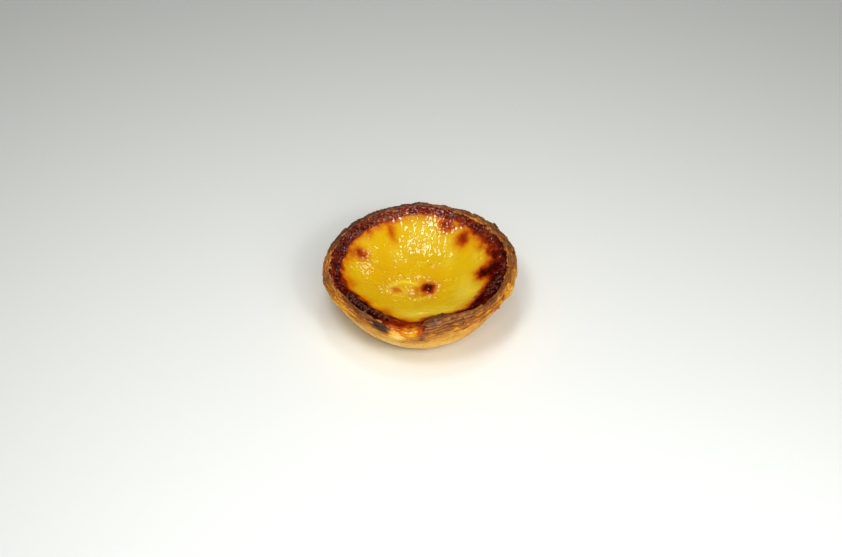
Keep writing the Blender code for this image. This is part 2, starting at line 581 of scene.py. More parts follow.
# the layers wind up the wall as one spiral, wandering as the thumbs pressed them
slow = noise(graph, where, 13.0, 1.0) - 0.5
quick = noise(graph, where, 3.6, 2.0) - 0.5
wander = slow * size["Layer wander"] + quick * 1.3
folded = sample(graph, guide, read(graph, "folded"), rows + step)
folded = folded * (1.0 + quick * 1.1 + slow * 0.5)
turns = run / size["Layer pitch"] + turn + wander
layer = turns.math("FLOOR")
lip = turns - layer
leaf = noise(graph, where, 5.0, 2.0, (layer - turn) * 3.7).ramp(0.40, 0.60)
tone = noise(graph, where, 18.0, 2.0, (layer - turn) * 1.3) - 0.5
ragged = noise(graph, where, 1.0, 2.0)
near_rim = bell(run, 0.5, 4.2)
caramel_to = sample(graph, guide, read(graph, "caramel_to"), rows + step)
exposed = (run - caramel_to).ramp(-0.8, 0.6).math("MAXIMUM", folded * run.ramp(-9.5, -7.5))
on_wall = run.ramp(26.5, 24.0)
depth = near_rim * (size["Layer depth on rim"] - size["Layer depth on wall"])
depth = depth + size["Layer depth on wall"]
layers = (lip ** 1.6 * (0.3 + leaf) * (0.5 + ragged) - 0.42) * depth

# soft puffs, dents and crumbs
puffs = (noise(graph, where, 7.0, 2.0) - 0.54) * size["Puff"]
crumbs = (noise(graph, where, 0.8, 2.0) - 0.5) * 0.22

# leaf ends round the rim stand out in turn, like scales
astray = step + quick * 16.0 + size["Steps round"]
astray = rows + (astray + 0.5).math("FLOOR").math("MODULO", size["Steps round"])
stand = sample(graph, guide, read(graph, "stand"), astray)
scales = (stand - 0.25) * size["Leaf end"] * bell(run, 2.2, 3.0)

# the flat base keeps the spiral of the rolled slice
spiral = across / size["Base spiral pitch"] + turn + wander * 0.25
spiral = spiral - spiral.math("FLOOR")
groove = bell(spiral, 0.5, 0.14) * size["Base spiral depth"]
groove = groove + (puffs * 0.4).math("ABSOLUTE")
on_base = run.ramp(25.8, 27.4)

swell = (layers + puffs + crumbs) * exposed * on_wall + scales - exposed * 0.05
swell = swell - (1.0 - exposed) * run.ramp(-6.0, -4.0) * 0.12
pleat = ((run / 1.3 + slow * 1.6 + quick * 1.3) * (2 * math.pi)).math("SINE") * folded
pleat = pleat * bell(run, -3.0, 3.4)
swell = swell + pleat * size["Fold pleats"]
swell = swell * (1.0 - on_base) - groove * on_base
lean_in = folded * size["Fold reach"] * (run + 0.4).math("MINIMUM", 0.0) * -0.22
across = across - lean_in * (run * -0.2).ramp(2.6, 1.0)
across = across + face_out * swell
up = up + face_up * swell + folded * bell(run, -4.0, 2.2) * 1.1

bake = 0.34 + near_rim * 0.12 - run.ramp(9.0, 24.0) * 0.14 + on_base * 0.12
bake = bake + (lip ** 2.0 - 0.4) * 0.28 * (0.3 + leaf) - puffs * 0.16
bake = bake + (noise(graph, where, 16.0, 2.0) - 0.5) * 0.36 + quick * 0.10
bake = bake + (noise(graph, where, 2.2, 3.0) - 0.5) * 0.16 * near_rim
bake = bake + tone * run.ramp(2.0, 5.0) * (1.0 - on_base) * 0.60
bake = bake + bell(spiral, 0.5, 0.2) * on_base * 0.14
bake = bake + folded * bell(run, -1.6, 3.4) * 0.27 + folded * run.ramp(-3.4, -5.0) * 0.40
bake = bake - pleat * 0.14

moves = [
    sample(graph, guide, read(graph, label), rows + step)
    for label in ("outward", "upward", "inward")
]
radius, height = worked_out_of_round(graph, across, up, *moves)
place = kept_in_box(graph, spun(graph, radius, angle, height, 0.001))
grid = save(graph, grid, "bake", bake)
grid = save(graph, grid, "run", run)
grid = save(graph, grid, "turn", turn * 360.0)
end_shape(graph, closed_up(graph, grid, place), pastry)
shell = shaped("pastry_shell", shell_guide, graph, SHELL_SIZES, pastry)


def patch(mesh, middle, half_width, past_crest, half_length):
    """A soft patch on the rim or the wall: how much each point is in it."""
    aside = short_way(field(mesh, "turn") - middle) / half_width
    along = (field(mesh, "run") - past_crest) / half_length
    return np.exp(-(aside**2) - along**2)


# Bearing, half width in degrees, past the crest in mm, half length, then how much more
# the pastry is baked there; the paler patch low on the left wall is painted light
BAKE_PATCHES_AND_PAINTED_LIGHT = (
    (246, 6.0, 1.8, 1.7, 0.58),
    (241, 4.0, 0.9, 1.0, 0.26),
    (249, 3.0, 4.0, 1.6, 0.16),
    (257, 5.5, 4.4, 2.6, -0.38),
    (254, 3.5, 7.5, 2.5, -0.24),
    # painted light: the lower left wall is made paler, to brighten it where it sits in shade
    (212, 20.0, 12.0, 8.0, -0.26),
    (200, 22.0, 2.2, 2.4, 0.12),
    (232, 14.0, 1.6, 2.6, 0.08),
    (315, 16.0, 1.4, 2.4, 0.14),
    (286, 30.0, 6.5, 4.0, 0.10),
    (290, 26.0, 13.0, 5.0, 0.05),
    (266, 7.0, 0.6, 3.0, 0.26),
    (271, 1.6, 5.0, 3.5, 0.22),
    (290, 17.0, 2.6, 2.6, 0.16),
    (298, 5.0, 5.2, 2.6, 0.18),
    (148, 26.0, 1.0, 3.0, 0.42),
    (105, 24.0, 1.0, 3.0, 0.40),
    (62, 24.0, 1.0, 3.0, 0.34),
    (78, 6.0, 2.0, 1.5, -0.26),
    (30, 18.0, 1.2, 3.0, 0.30),
    (4, 16.0, 0.4, 2.8, 0.24),
    (322, 18.0, -1.6, 2.4, 0.22),
    (345, 16.0, -1.2, 2.6, 0.24),
    (222, 24.0, -0.8, 2.0, 0.26),
    (188, 10.0, 0.6, 2.2, 0.14),
)
bake = field(shell.data, "bake")
for *place, much in BAKE_PATCHES_AND_PAINTED_LIGHT:
    bake += much * patch(shell.data, *place)
set_field(shell.data, "bake", bake)
gloss = 0.5 * patch(shell.data, 285, 20, -0.4, 2.0) + 0.25 * patch(shell.data, 0, 400, 0.0, 4.0)
gloss += 0.7 * patch(shell.data, 190, 14, 0.6, 2.4)
# caramel ran over the inner edge of the folded leaf and set on it
syrup = round_table(FOLDED, field(shell.data, "turn"))
syrup *= np.clip((-1.5 - field(shell.data, "run")) / 1.1, 0.0, 1.0)
set_field(shell.data, "syrup", syrup)
set_field(shell.data, "gloss", gloss + syrup * 0.45)
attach(shell, "root")
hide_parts("pastry_case")

# ---------------------------------------------------------------------------------------
# The custard. Egg yolk custard is poured in level, rises in a very hot oven, then sinks
# into a dish as it cools, with a wet wrinkled skin. The skin catches in spots and all
# along the rim, where it cooks to dark caramel, and at the front it boiled over the edge.
# ---------------------------------------------------------------------------------------

GAP = 0.35
DISH_FLOOR = 11.3
DISH_RADIUS = 31.0
DISH_EDGE_HEIGHT = 20.4
DISH_CURVE = 2.6
SHOULDER_LENGTH = 1.2
CUSTARD_EDGE = RIM_RADIUS - 2 * RIM_HALF_WIDTH - GAP

# Hollows and blisters: middle and half widths along X and Y, then height
CUSTARD_MARKS = (
    (-3.5, -1.8, 10.0, 6.0, -0.9),
    (2.6, -1.0, 2.9, 2.3, 1.1),
    (-9.8, -3.0, 2.4, 2.0, 0.8),
)

# Where the skin caught: bearing and distance of the middle, half widths along the rim and
# towards it, then how brown
BROWN_SPOTS = (
    (337, 3.6, 3.3, 3.2, 0.90),
    (350, 3.2, 7.5, 5.5, 0.24),
    (290, 5.0, 2.2, 1.8, 0.36),
    (255, 2.0, 3.2, 5.0, 0.32),
    (197, 10.3, 3.0, 3.0, 0.36),
    (153, 27.6, 4.0, 3.2, 0.56),
    (158, 31.0, 2.4, 4.4, 0.42),
    (115, 28.4, 2.1, 4.6, 0.44),
    (68, 30.2, 4.0, 3.2, 0.62),
    (50, 27.6, 3.2, 4.0, 0.58),
    (34, 31.8, 5.0, 3.2, 0.64),
    (18, 31.6, 5.0, 3.2, 0.62),
    (4, 25.8, 4.0, 3.6, 0.94),
    (3, 30.0, 6.5, 4.6, 0.94),
    (4, 28.2, 4.4, 3.0, 0.92),
    (190, 28.6, 4.8, 3.4, 0.36),
    (214, 26.6, 6.0, 4.0, 0.28),
    (236, 25.4, 3.0, 4.4, 0.42),
    (258, 26.6, 4.4, 3.4, 0.36),
    (318, 26.0, 5.0, 3.8, 0.28),
    (282, 24.5, 6.0, 3.0, 0.40),
    (134, 31.6, 2.6, 2.4, 0.34),
    (88, 31.5, 3.0, 2.0, 0.24),
    (170, 14.0, 14.0, 9.0, 0.10),
)

# Round the tart by degrees: the radius where the dark edge begins
DARK_FROM = (
    (0, 28.4), (15, 30.6), (30, 30.6), (45, 32.0), (60, 32.9), (75, 33.3), (90, 34.4),
    (105, 33.6), (115, 32.4), (130, 33.0), (142, 33.3), (155, 32.5), (170, 32.2),
    (180, 32.2), (190, 31.9), (200, 31.0), (210, 29.4), (220, 28.6), (230, 28.0),
    (240, 28.0), (250, 29.0), (262, 29.0), (270, 27.0), (280, 25.4), (290, 25.6),
    (300, 27.4), (310, 28.4), (320, 28.2), (330, 27.6), (340, 28.0), (350, 29.0),
    (360, 28.4),
)

# And how dark it goes there
DARKNESS = (
    (0, 0.78), (20, 0.72), (40, 0.72), (60, 0.70), (85, 0.64), (105, 0.66), (125, 0.72),
    (150, 0.80), (175, 0.78), (200, 0.84), (225, 0.96), (243, 0.86), (252, 0.66),
    (266, 0.60), (276, 0.80), (292, 0.90), (320, 0.84), (345, 0.92), (360, 0.78),
)

CUSTARD_COLOURS = (
    (0.00, paint(219, 176, 0)),
    (0.14, paint(215, 158, 0)),
    (0.28, paint(204, 124, 0)),
    (0.42, paint(184, 82, 2)),
    (0.56, paint(144, 42, 2)),
    (0.72, paint(98, 16, 0)),
    (0.88, paint(60, 6, 2)),
    (1.00, paint(30, 6, 6)),
)


def dish_line(end, count):
    """The custard's top: a dish whose slope fades out beyond its edge, at the rim."""
    depth = DISH_EDGE_HEIGHT - DISH_FLOOR
    radius = np.linspace(0.02, end, count)
    inner = np.minimum(radius, DISH_RADIUS) / DISH_RADIUS
    beyond = np.maximum(radius - DISH_RADIUS, 0.0) / SHOULDER_LENGTH
    slope = depth * DISH_CURVE / DISH_RADIUS
    shoulder = slope * SHOULDER_LENGTH * (1.0 - np.exp(-beyond))
    return np.column_stack([radius, DISH_FLOOR + depth * inner**DISH_CURVE + shoulder])


custard_skin, graph, shader = new_material(
    "baked custard",
    {
        "Subsurface Weight": 0.20,
        "Subsurface Scale": 0.0012,
        "Coat Roughness": 0.06,
        "Coat IOR": 1.55,
        "Specular IOR Level": 0.0,
    },
)
shader.inputs["Subsurface Radius"].default_value = (1.0, 0.8, 0.3)
where = millimetres(graph)
cloud = noise(graph, where, 9.0, 2.0)
mottle = noise(graph, where, 1.6, 3.0)
fine = noise(graph, where, 0.5, 2.0)
burn = kept(graph, "burn")
burnt = burn * (1.0 + (mottle - 0.5) * 0.5) + (fine - 0.5) * 0.05
burnt = burnt + (cloud - 0.5) * 0.12
settings = {"stops": CUSTARD_COLOURS}
colour = graph.node("ShaderNodeValToRGB", settings, {"Fac": burnt.clipped()})
# painted sheen: pale reflections painted into the custard's colour, with random pale patches from
# the cloud noise
milky = (kept(graph, "milky") + (cloud - 0.56) * 0.3) * (1.0 - burnt * 2.5).clipped()
milky = milky.clipped(0.0, 0.8)
colour = blend(graph, milky, colour, paint(240, 216, 66))
settings = {"feature": "DISTANCE_TO_EDGE"}
sockets = {"Vector": where, "Scale": 0.55, "Randomness": 1.0}
cells = graph.node("ShaderNodeTexVoronoi", settings, sockets)
skins = cells.ramp(0.16, 0.0) * kept(graph, "foamy")
# the pale foam walls are partly the foam's own colour and partly painted glints: pale outlines
# standing in for highlights on the bubble walls
pale = skins * (cloud * mottle * 4.0 - 0.8).clipped()
colour = blend(graph, pale.clipped(0.0, 0.45), colour, paint(214, 142, 100))
connect(graph, colour, shader, "Base Color")
rough = (0.30 - burn * 0.08 + (mottle - 0.5) * 0.12).clipped(0.14, 0.6)
connect(graph, rough, shader, "Roughness")
wet = kept(graph, "wet")
coat = (0.70 + (cloud - 0.5) * 0.4 + wet * 0.4 - burnt.clipped() * 0.5).clipped()
coat = coat * kept(graph, "shine")
connect(graph, coat, shader, "Coat Weight")
relief = bump(graph, fine * 0.3 + mottle * 0.3 + skins * 2.4, 0.12)
connect(graph, relief, shader, "Normal")

SKIN_SIZES = {
    "Steps round": 560,
    "Top rows": 150,
    "Caramel thickness": 0.34,
    "Wrinkle depth": 0.46,
    "Blister height": 0.42,
}
UNDER_ROWS = 8

skin_top = joined(
    dish_line(33.3, 240),
    rim_line(157, 0, 60),
    wall_line(BASE_RADIUS, 0.0, RIM_RADIUS, WIDEST_HEIGHT, 122)[::-1][:30],
)
skin_under = wall_line(
    FLOOR_RADIUS - GAP, FLOOR_THICKNESS + GAP, CUSTARD_EDGE, WIDEST_HEIGHT - GAP, 7
)[::-1]
skin_line = np.concatenate([skin_top, skin_under, [(0.02, FLOOR_THICKNESS + GAP)]])
skin_steps = SKIN_SIZES["Steps round"]
degrees = np.linspace(0.0, 360.0, skin_steps + 1)
round_values = rim_moves(degrees)
round_values["caramel_to"] = round_table(CARAMEL_TO, degrees)
round_values["dark_from"] = round_table(DARK_FROM, degrees)
round_values["darkness"] = round_table(DARKNESS, degrees)
skin_guide, skin_crest = guide_mesh("skin_line", skin_line, skin_steps, round_values)

graph, size = new_shape("sunken custard and its caramel", SKIN_SIZES)
guide = size["Geometry"]
top_rows = size["Top rows"]
all_rows = top_rows + UNDER_ROWS
grid, row, step, angle = turning_grid(graph, all_rows, size["Steps round"])
by_step = {
    label: sample(graph, guide, read(graph, label), len(skin_line) + step)
    for label in round_values
}
share = (row / (top_rows - 1)).clipped()
on_top = row.math("LESS_THAN", top_rows - 0.5)
rim_point = spun(graph, 20.0 + row * 0.0, angle, 0.0)
end = by_step["caramel_to"] + (noise(graph, rim_point, 1.3, 2.0) - 0.5) * 2.6
length_on_top = share * (end + skin_crest)
under = len(skin_top) + (row - top_rows)
line = graph.node("GeometryNodeMeshToCurve", None, {"Mesh": guide})
position = graph.node("GeometryNodeInputPosition")
settings = {"mode": "LENGTH", "use_all_curves": True, "data_type": "FLOAT_VECTOR"}
sockets = {"Curves": line, "Length": length_on_top, "Value": position}
sampled = graph.node("GeometryNodeSampleCurve", settings, sockets, "Position")
low_point = sample(graph, guide, position, under, "FLOAT_VECTOR")
sockets = {"Factor": on_top, 4: low_point, 5: sampled}
spot = graph.node("ShaderNodeMix", {"data_type": "VECTOR"}, sockets, output=1)
across, _, up = parts_of(graph, spot)
along_out, _, along_up = parts_of(graph, sampled.output("Tangent"))
face_out = along_up * -1.0
face_up = along_out
run = length_on_top - skin_crest
where = spun(graph, across, angle, up)

# the caramel is a raised skin from the dark edge out to where it ends
jitter = (noise(graph, where, 4.0, 3.0) - 0.5) * 7.0
start = by_step["dark_from"] + jitter
inside_edge = (across - start).ramp(-1.9, 1.1)
past_dish = run.ramp(-5.2, -4.2)
in_band = (inside_edge + past_dish).clipped()
ends = (end - run).ramp(0.0, 1.8)
lumps = noise(graph, where, 1.3, 2.0)
film = in_band * size["Caramel thickness"] * (0.4 + lumps * 1.3)
film = film * ends - (1.0 - ends) * 0.22

# hollows and blisters
marks = 0.0
for mid_x, mid_y, half_x, half_y, tall in CUSTARD_MARKS:
    place = (mid_x, mid_y, 0.0)
    marks = blob(graph, where, place, (half_x, half_y, 1e4)) * tall + marks

# wet wrinkles, finest where the skin dried first
WRINKLE_ZONES = (
    # middle, half widths, depth
    (4.0, 26.0, 8.0, 9.0, 0.42),
    (11.5, 19.0, 2.6, 6.0, 0.6),
    (-10.0, 21.0, 3.0, 2.2, 0.6),
    (-20.0, 14.0, 3.0, 2.5, 0.8),
    (-5.0, 15.0, 7.0, 3.0, 0.4),
    (6.0, 12.0, 6.0, 2.0, 0.5),
    (-10.0, -5.8, 3.4, 1.4, 0.7),
    (4.0, -6.0, 2.6, 1.4, 0.7),
    (1.0, -17.5, 9.0, 3.0, 0.5),
    (13.0, -16.0, 7.0, 3.4, 0.6),
    (-27.0, 6.0, 3.0, 7.0, 0.5),
    (16.0, 28.0, 8.0, 4.0, 0.6),
    (-10.0, 30.0, 9.0, 3.0, 0.6),
)
wet = 0.34 + (noise(graph, where, 6.0, 1.0) - 0.5) * 0.8
for mid_x, mid_y, half_x, half_y, much in WRINKLE_ZONES:
    place = (mid_x, mid_y, 0.0)
    wet = blob(graph, where, place, (half_x, half_y, 1e4)) * much + wet
wet = (wet + in_band * 0.35).clipped(0.05, 1.2)
settings = {"feature": "SMOOTH_F1", "voronoi_dimensions": "3D"}
sockets = {"Vector": where, "Scale": 0.40, "Randomness": 1.0}
pits = graph.node("ShaderNodeTexVoronoi", settings, sockets)
sockets = {"Vector": where, "Scale": 0.75, "Randomness": 1.0}
small_pits = graph.node("ShaderNodeTexVoronoi", settings, sockets)
ripple = noise(graph, where, 2.8, 1.0)
settings = {"operation": "MULTIPLY"}
stretched = graph.node("ShaderNodeVectorMath", settings, {0: where, 1: (1.0, 0.36, 0.36)})
streaks = noise(graph, stretched, 1.5, 1.0) - 0.5
at_back = blob(graph, where, (3.0, 22.0, 0.0), (20.0, 13.0, 1e4))
flattened = graph.node("ShaderNodeVectorMath", settings, {0: where, 1: (0.4, 1.0, 0.5)})
dashes = noise(graph, flattened, 1.3, 1.0) - 0.5
wrinkle = (pits - 0.5) * 0.9 + (small_pits - 0.5) * 0.3 + (ripple - 0.5) * 1.6
wrinkle = wrinkle + streaks * at_back * 1.8 + dashes * (1.2 - at_back) * 0.9
slow = (noise(graph, where, 9.0, 1.0) - 0.5) * 0.9
ring = bell(blob(graph, where, (-5.0, -1.6, 0.0), (8.6, 5.4, 1e4)), 0.37, 0.20)
wrinkle = wrinkle * wet * size["Wrinkle depth"] + (slow + ring * ripple * 0.6) * (1.0 - in_band)

# small blisters here and there under the skin
settings = {"feature": "F1", "voronoi_dimensions": "3D"}
sockets = {"Vector": where, "Scale": 0.5, "Randomness": 1.0}
blister = graph.node("ShaderNodeTexVoronoi", settings, sockets)
chosen, _, _ = parts_of(graph, blister.output("Color"))
cap = blister.ramp(0.46, 0.05) * chosen.ramp(0.12, 0.04)
wrinkle = wrinkle + cap * size["Blister height"] * (1.0 - in_band)

lift = (film + marks + wrinkle * ends) * on_top
across = across + face_out * lift
up = up + face_up * lift

# how brown the skin is along the rim, before its spots
patchy = noise(graph, where, 3.4, 2.0) - 0.5
patchy = (lumps - 0.5) * 0.36 + patchy * 0.8
burn = in_band * (by_step["darkness"] + patchy * (1.6 - by_step["darkness"]))
near_side = (angle.math("SINE") * -1.0).ramp(-0.2, 0.6, 0.40, 0.66)
burn = burn + (across - start).ramp(-6.0, 0.0) * (1.0 - in_band) * near_side
drift = noise(graph, where, 3.0, 3.0).output("Color")

radius, height = worked_out_of_round(
    graph, across, up, by_step["outward"], by_step["upward"], by_step["inward"]
)
place = kept_in_box(graph, spun(graph, radius, angle, height, 0.001))
grid = save(graph, grid, "burn", burn)
grid = save(graph, grid, "wet", wet)
grid = save(graph, grid, "run", run)
grid = save(graph, grid, "turn", angle * (180 / math.pi))
grid = save(graph, grid, "on_top", on_top * ends)
grid = save(graph, grid, "flat_place", where, "FLOAT_VECTOR")
grid = save(graph, grid, "drift", drift, "FLOAT_VECTOR")
end_shape(graph, closed_up(graph, grid, place), custard_skin)
custard = shaped("custard", skin_guide, graph, SKIN_SIZES, custard_skin)

burn = field(custard.data, "burn")
drifted = field(custard.data, "flat_place", 3) + 3.4 * (field(custard.data, "drift", 3) - 0.5)
for bearing, distance, half_along, half_toward, much in BROWN_SPOTS:
    cosine = math.cos(math.radians(bearing))
    sine = math.sin(math.radians(bearing))
    toward = (drifted[:, 0] * cosine + drifted[:, 1] * sine - distance) / half_toward
    along = (drifted[:, 1] * cosine - drifted[:, 0] * sine) / half_along
    burn = np.maximum(burn, much * np.exp(-0.9 * (along**2 + toward**2)))
burn -= 0.40 * patch(custard.data, 260, 13.0, 2.0, 3.2)
burn -= 0.26 * patch(custard.data, 190, 10.0, 0.5, 2.6)
burn += 0.12 * patch(custard.data, 22, 34.0, -1.6, 2.4)
set_field(custard.data, "burn", burn)

# Pale painted sheen, standing in for reflections on the skin: middle and half widths along X and Y,
# then how much
PAINTED_SHEEN_PATCHES = (
    (19.0, -7.0, 5.0, 9.0, 0.66),
    (9.0, -17.0, 7.0, 3.0, 0.62),
    (-2.0, -19.0, 5.0, 2.4, 0.60),
    (4.0, 25.0, 9.0, 5.0, 0.34),
    (12.0, 15.0, 3.0, 6.0, 0.35),
    (-9.0, 16.0, 3.5, 4.5, 0.30),
    (-22.0, 17.0, 4.0, 2.5, 0.25),
    (24.0, 12.0, 3.5, 5.0, 0.30),
)
milky = np.zeros(len(burn))
for mid_x, mid_y, half_x, half_y, much in PAINTED_SHEEN_PATCHES:
    aside = (drifted[:, 0] - mid_x) / half_x
    along = (drifted[:, 1] - mid_y) / half_y
    milky += much * np.exp(-(aside**2) - along**2)
# painted highlights: thin pale rings painted round the pale blister and behind it
PAINTED_RING_HIGHLIGHTS = (
    # middle, half widths, how thick, how much
    (-9.8, -3.6, 3.4, 2.8, 0.26, 0.6),
    (-5.6, -1.8, 6.2, 4.4, 0.16, 0.7),
)
place = field(custard.data, "flat_place", 3)
for mid_x, mid_y, half_x, half_y, thick, much in PAINTED_RING_HIGHLIGHTS:
    out = np.hypot((place[:, 0] - mid_x) / half_x, (place[:, 1] - mid_y) / half_y)
    behind = np.clip((place[:, 1] - mid_y) / half_y + 0.9, 0.3, 1.0)
    milky += much * behind * np.exp(-(((out - 1.0) / thick) ** 2))
set_field(custard.data, "milky", milky)
foamy = patch(custard.data, 130, 26.0, -3.4, 2.6) + patch(custard.data, 55, 18.0, -3.4, 2.6)
foamy += 0.7 * patch(custard.data, 90, 22.0, -4.2, 2.0)
foamy += 0.8 * patch(custard.data, 268, 14.0, -2.5, 2.4)
# the near side of the rim set dull and bubbly, so it doesn't mirror the far side
near = patch(custard.data, 222, 40.0, -8.0, 7.0) + patch(custard.data, 330, 36.0, -8.0, 7.0)
near += patch(custard.data, 276, 30.0, -8.0, 6.0)
dull = np.clip(near * 2.0, 0.0, 1.0) * np.clip(burn * 3.0, 0.0, 1.0)
set_field(custard.data, "shine", 1.0 - 0.96 * dull)
set_field(custard.data, "foamy", foamy)
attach(custard, "root")
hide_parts("custard_filling")

# ---------------------------------------------------------------------------------------
# The caramel bubbles. Where the sugar boiled against the rim it set as strings of dark
# shiny beads, fat along the left and the right and fine along the back. They are stuck
# fast in the caramel, so each one is half sunk in it.
# ---------------------------------------------------------------------------------------

BEAD_COLOURS = (
    (0.00, paint(196, 112, 50)),
    (0.35, paint(140, 56, 24)),
    (0.62, paint(84, 20, 10)),
    (0.85, paint(50, 12, 12)),
    (1.00, paint(34, 10, 14)),
)

bead_sugar, graph, shader = new_material(
    "burnt sugar beads",
    {
        "Coat Weight": 0.8,
        "Coat Roughness": 0.18,
        "Coat IOR": 1.6,
        "Specular IOR Level": 0.0,
    },
)
where = millimetres(graph)
tone = kept(graph, "tone") + (noise(graph, where, 0.7, 2.0) - 0.5) * 0.5
settings = {"stops": BEAD_COLOURS}
colour = graph.node("ShaderNodeValToRGB", settings, {"Fac": tone.clipped()})
connect(graph, colour, shader, "Base Color")
connect(graph, (0.34 - tone * 0.1).clipped(), shader, "Roughness")

FAT_BEADS = {
    "Closest": 0.00105,
    "Smallest": 0.00050,
    "Largest": 0.00100,
    "Flatness": 0.55,
    "Darkness": 0.72,
    "Least dark": 0.12,
    "Seed": 4,
}
FINE_BEADS = {
    "Closest": 0.00120,
    "Smallest": 0.00030,
    "Largest": 0.00105,
    "Flatness": 0.30,
    "Darkness": 0.7,
    "Least dark": 0.0,
    "Seed": 11,
}

graph, size = new_shape("beads of burnt sugar", FAT_BEADS)
settings = {"distribute_method": "POISSON"}
sockets = {"Mesh": size["Geometry"], "Distance Min": size["Closest"]}
sockets.update({"Density Max": 4e6, "Seed": size["Seed"]})
sockets["Density Factor"] = read(graph, "beady")
points = graph.node("GeometryNodeDistributePointsOnFaces", settings, sockets)
sockets = {2: size["Smallest"], 3: size["Largest"], "Seed": size["Seed"]}
settings = {"data_type": "FLOAT"}
bead_radius = graph.node("FunctionNodeRandomValue", settings, sockets, 1)
dark = read(graph, "burn") * size["Darkness"] + size["Least dark"]
stored = save(graph, points, "tone", dark)
sockets = {"Segments": 10, "Rings": 7, "Radius": 1.0}
ball = graph.node("GeometryNodeMeshUVSphere", None, sockets)
sockets = {"Points": stored, "Instance": ball, "Rotation": points.output("Rotation")}
squat = {"X": bead_radius, "Y": bead_radius, "Z": bead_radius * size["Flatness"]}
sockets["Scale"] = graph.node("ShaderNodeCombineXYZ", None, squat)
beads = graph.node("GeometryNodeInstanceOnPoints", None, sockets)
beads = graph.node("GeometryNodeRealizeInstances", None, {"Geometry": beads})
position = graph.node("GeometryNodeInputPosition")
settings = {"operation": "SCALE"}
sockets = {0: position, "Scale": 1000.0}
where = graph.node("ShaderNodeVectorMath", settings, sockets)
lump = noise(graph, where, 1.1, 2.0).output("Color")
settings = {"operation": "MULTIPLY_ADD"}
sockets = {0: lump, 1: (0.0007, 0.0007, 0.0006), 2: (-0.00035, -0.00035, -0.0004)}
shove = graph.node("ShaderNodeVectorMath", settings, sockets)
sockets = {"Geometry": beads, "Offset": shove}
beads = graph.node("GeometryNodeSetPosition", None, sockets)
position = graph.node("GeometryNodeInputPosition")
sockets = {"Geometry": beads, "Position": kept_in_box(graph, position)}
end_shape(graph, graph.node("GeometryNodeSetPosition", None, sockets), bead_sugar)


def scattered(name, ground, beady, graph, sizes, material):
    """Runs a scattering tree on a copy of the piece that it scatters over."""
    copy = ground.data.copy()
    set_field(copy, "beady", beady)
    piece = shaped(name, copy, graph, sizes, material)
    bpy.data.meshes.remove(copy)
    return piece


beady = patch(custard.data, 218, 30.0, -4.4, 1.3) + patch(custard.data, 234, 16.0, -6.4, 1.3)
beady += patch(custard.data, 338, 15.0, -5.6, 1.5) + 0.5 * patch(custard.data, 166, 20.0, -3.2, 1.6)
beady += 0.3 * patch(custard.data, 15, 22.0, -3.4, 1.6)
burn = field(custard.data, "burn")
sure = np.clip((burn - 0.5) * 4.0, 0.0, 1.0) * field(custard.data, "on_top")
beads = scattered("caramel_beads", custard, beady * sure, graph, FAT_BEADS, bead_sugar)
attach(beads, "root")
fine_band = 0.8 * patch(custard.data, 124, 18.0, -3.0, 2.2)
fine_band += 0.8 * patch(custard.data, 60, 15.0, -3.2, 2.2)
fine_band += 0.12 * patch(custard.data, 90, 70, -3.2, 2.6)
sure = np.clip((burn - 0.35) * 4.0, 0.0, 1.0) * field(custard.data, "on_top")
foam = scattered("caramel_foam", custard, fine_band * sure, graph, FINE_BEADS, bead_sugar)
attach(foam, "root")

# ---------------------------------------------------------------------------------------
# The loose flakes. Thin leaves of the outermost layers lift and break off along the rim
# as the pastry puffs, and stay stuck by one edge, lying along the rim.
# ---------------------------------------------------------------------------------------

FLAKES = {
    "Closest": 0.0016,
    "Shortest": 0.0009,
    "Longest": 0.0026,
    "Seed": 7,
}

graph, size = new_shape("flakes along the rim", FLAKES)
settings = {"distribute_method": "POISSON"}
sockets = {"Mesh": size["Geometry"], "Distance Min": size["Closest"]}
sockets.update({"Density Max": 1.6e6, "Seed": size["Seed"]})
sockets["Density Factor"] = read(graph, "beady")
points = graph.node("GeometryNodeDistributePointsOnFaces", settings, sockets)
position = graph.node("GeometryNodeInputPosition")
settings = {"operation": "CROSS_PRODUCT"}
sockets = {0: (0.0, 0.0, 1.0), 1: position}
round_the_rim = graph.node("ShaderNodeVectorMath", settings, sockets)
settings = {"axis": "X", "pivot_axis": "Z"}
sockets = {"Rotation": points.output("Rotation"), "Vector": round_the_rim}
lying = graph.node("FunctionNodeAlignRotationToVector", settings, sockets)
sockets = {0: (-0.30, -0.16, -0.25), 1: (0.35, 0.16, 0.25), "Seed": size["Seed"]}
sway = graph.node("FunctionNodeRandomValue", {"data_type": "FLOAT_VECTOR"}, sockets)
sway = graph.node("FunctionNodeEulerToRotation", None, {"Euler": sway})
sockets = {"Rotation": lying, "Rotate By": sway}
lying = graph.node("FunctionNodeRotateRotation", {"rotation_space": "LOCAL"}, sockets)
sockets = {2: size["Shortest"], 3: size["Longest"], "Seed": size["Seed"] + 3.0}
half_long = graph.node("FunctionNodeRandomValue", {"data_type": "FLOAT"}, sockets, 1)
sockets = {2: 0.00035, 3: 0.00075, "Seed": size["Seed"] + 5.0}
half_wide = graph.node("FunctionNodeRandomValue", {"data_type": "FLOAT"}, sockets, 1)
sockets = {"X": half_long, "Y": half_wide, "Z": 0.00013}
scale = graph.node("ShaderNodeCombineXYZ", None, sockets)
sockets = {2: -0.16, 3: 0.08, "Seed": size["Seed"] + 9.0}
uneven = graph.node("FunctionNodeRandomValue", {"data_type": "FLOAT"}, sockets, 1)
stored = save(graph, points, "bake", read(graph, "bake") + uneven)
sockets = {"Segments": 10, "Rings": 4, "Radius": 1.0}
lens = graph.node("GeometryNodeMeshUVSphere", None, sockets)
sockets = {"Points": stored, "Instance": lens, "Rotation": lying, "Scale": scale}
flakes = graph.node("GeometryNodeInstanceOnPoints", None, sockets)
flakes = graph.node("GeometryNodeRealizeInstances", None, {"Geometry": flakes})
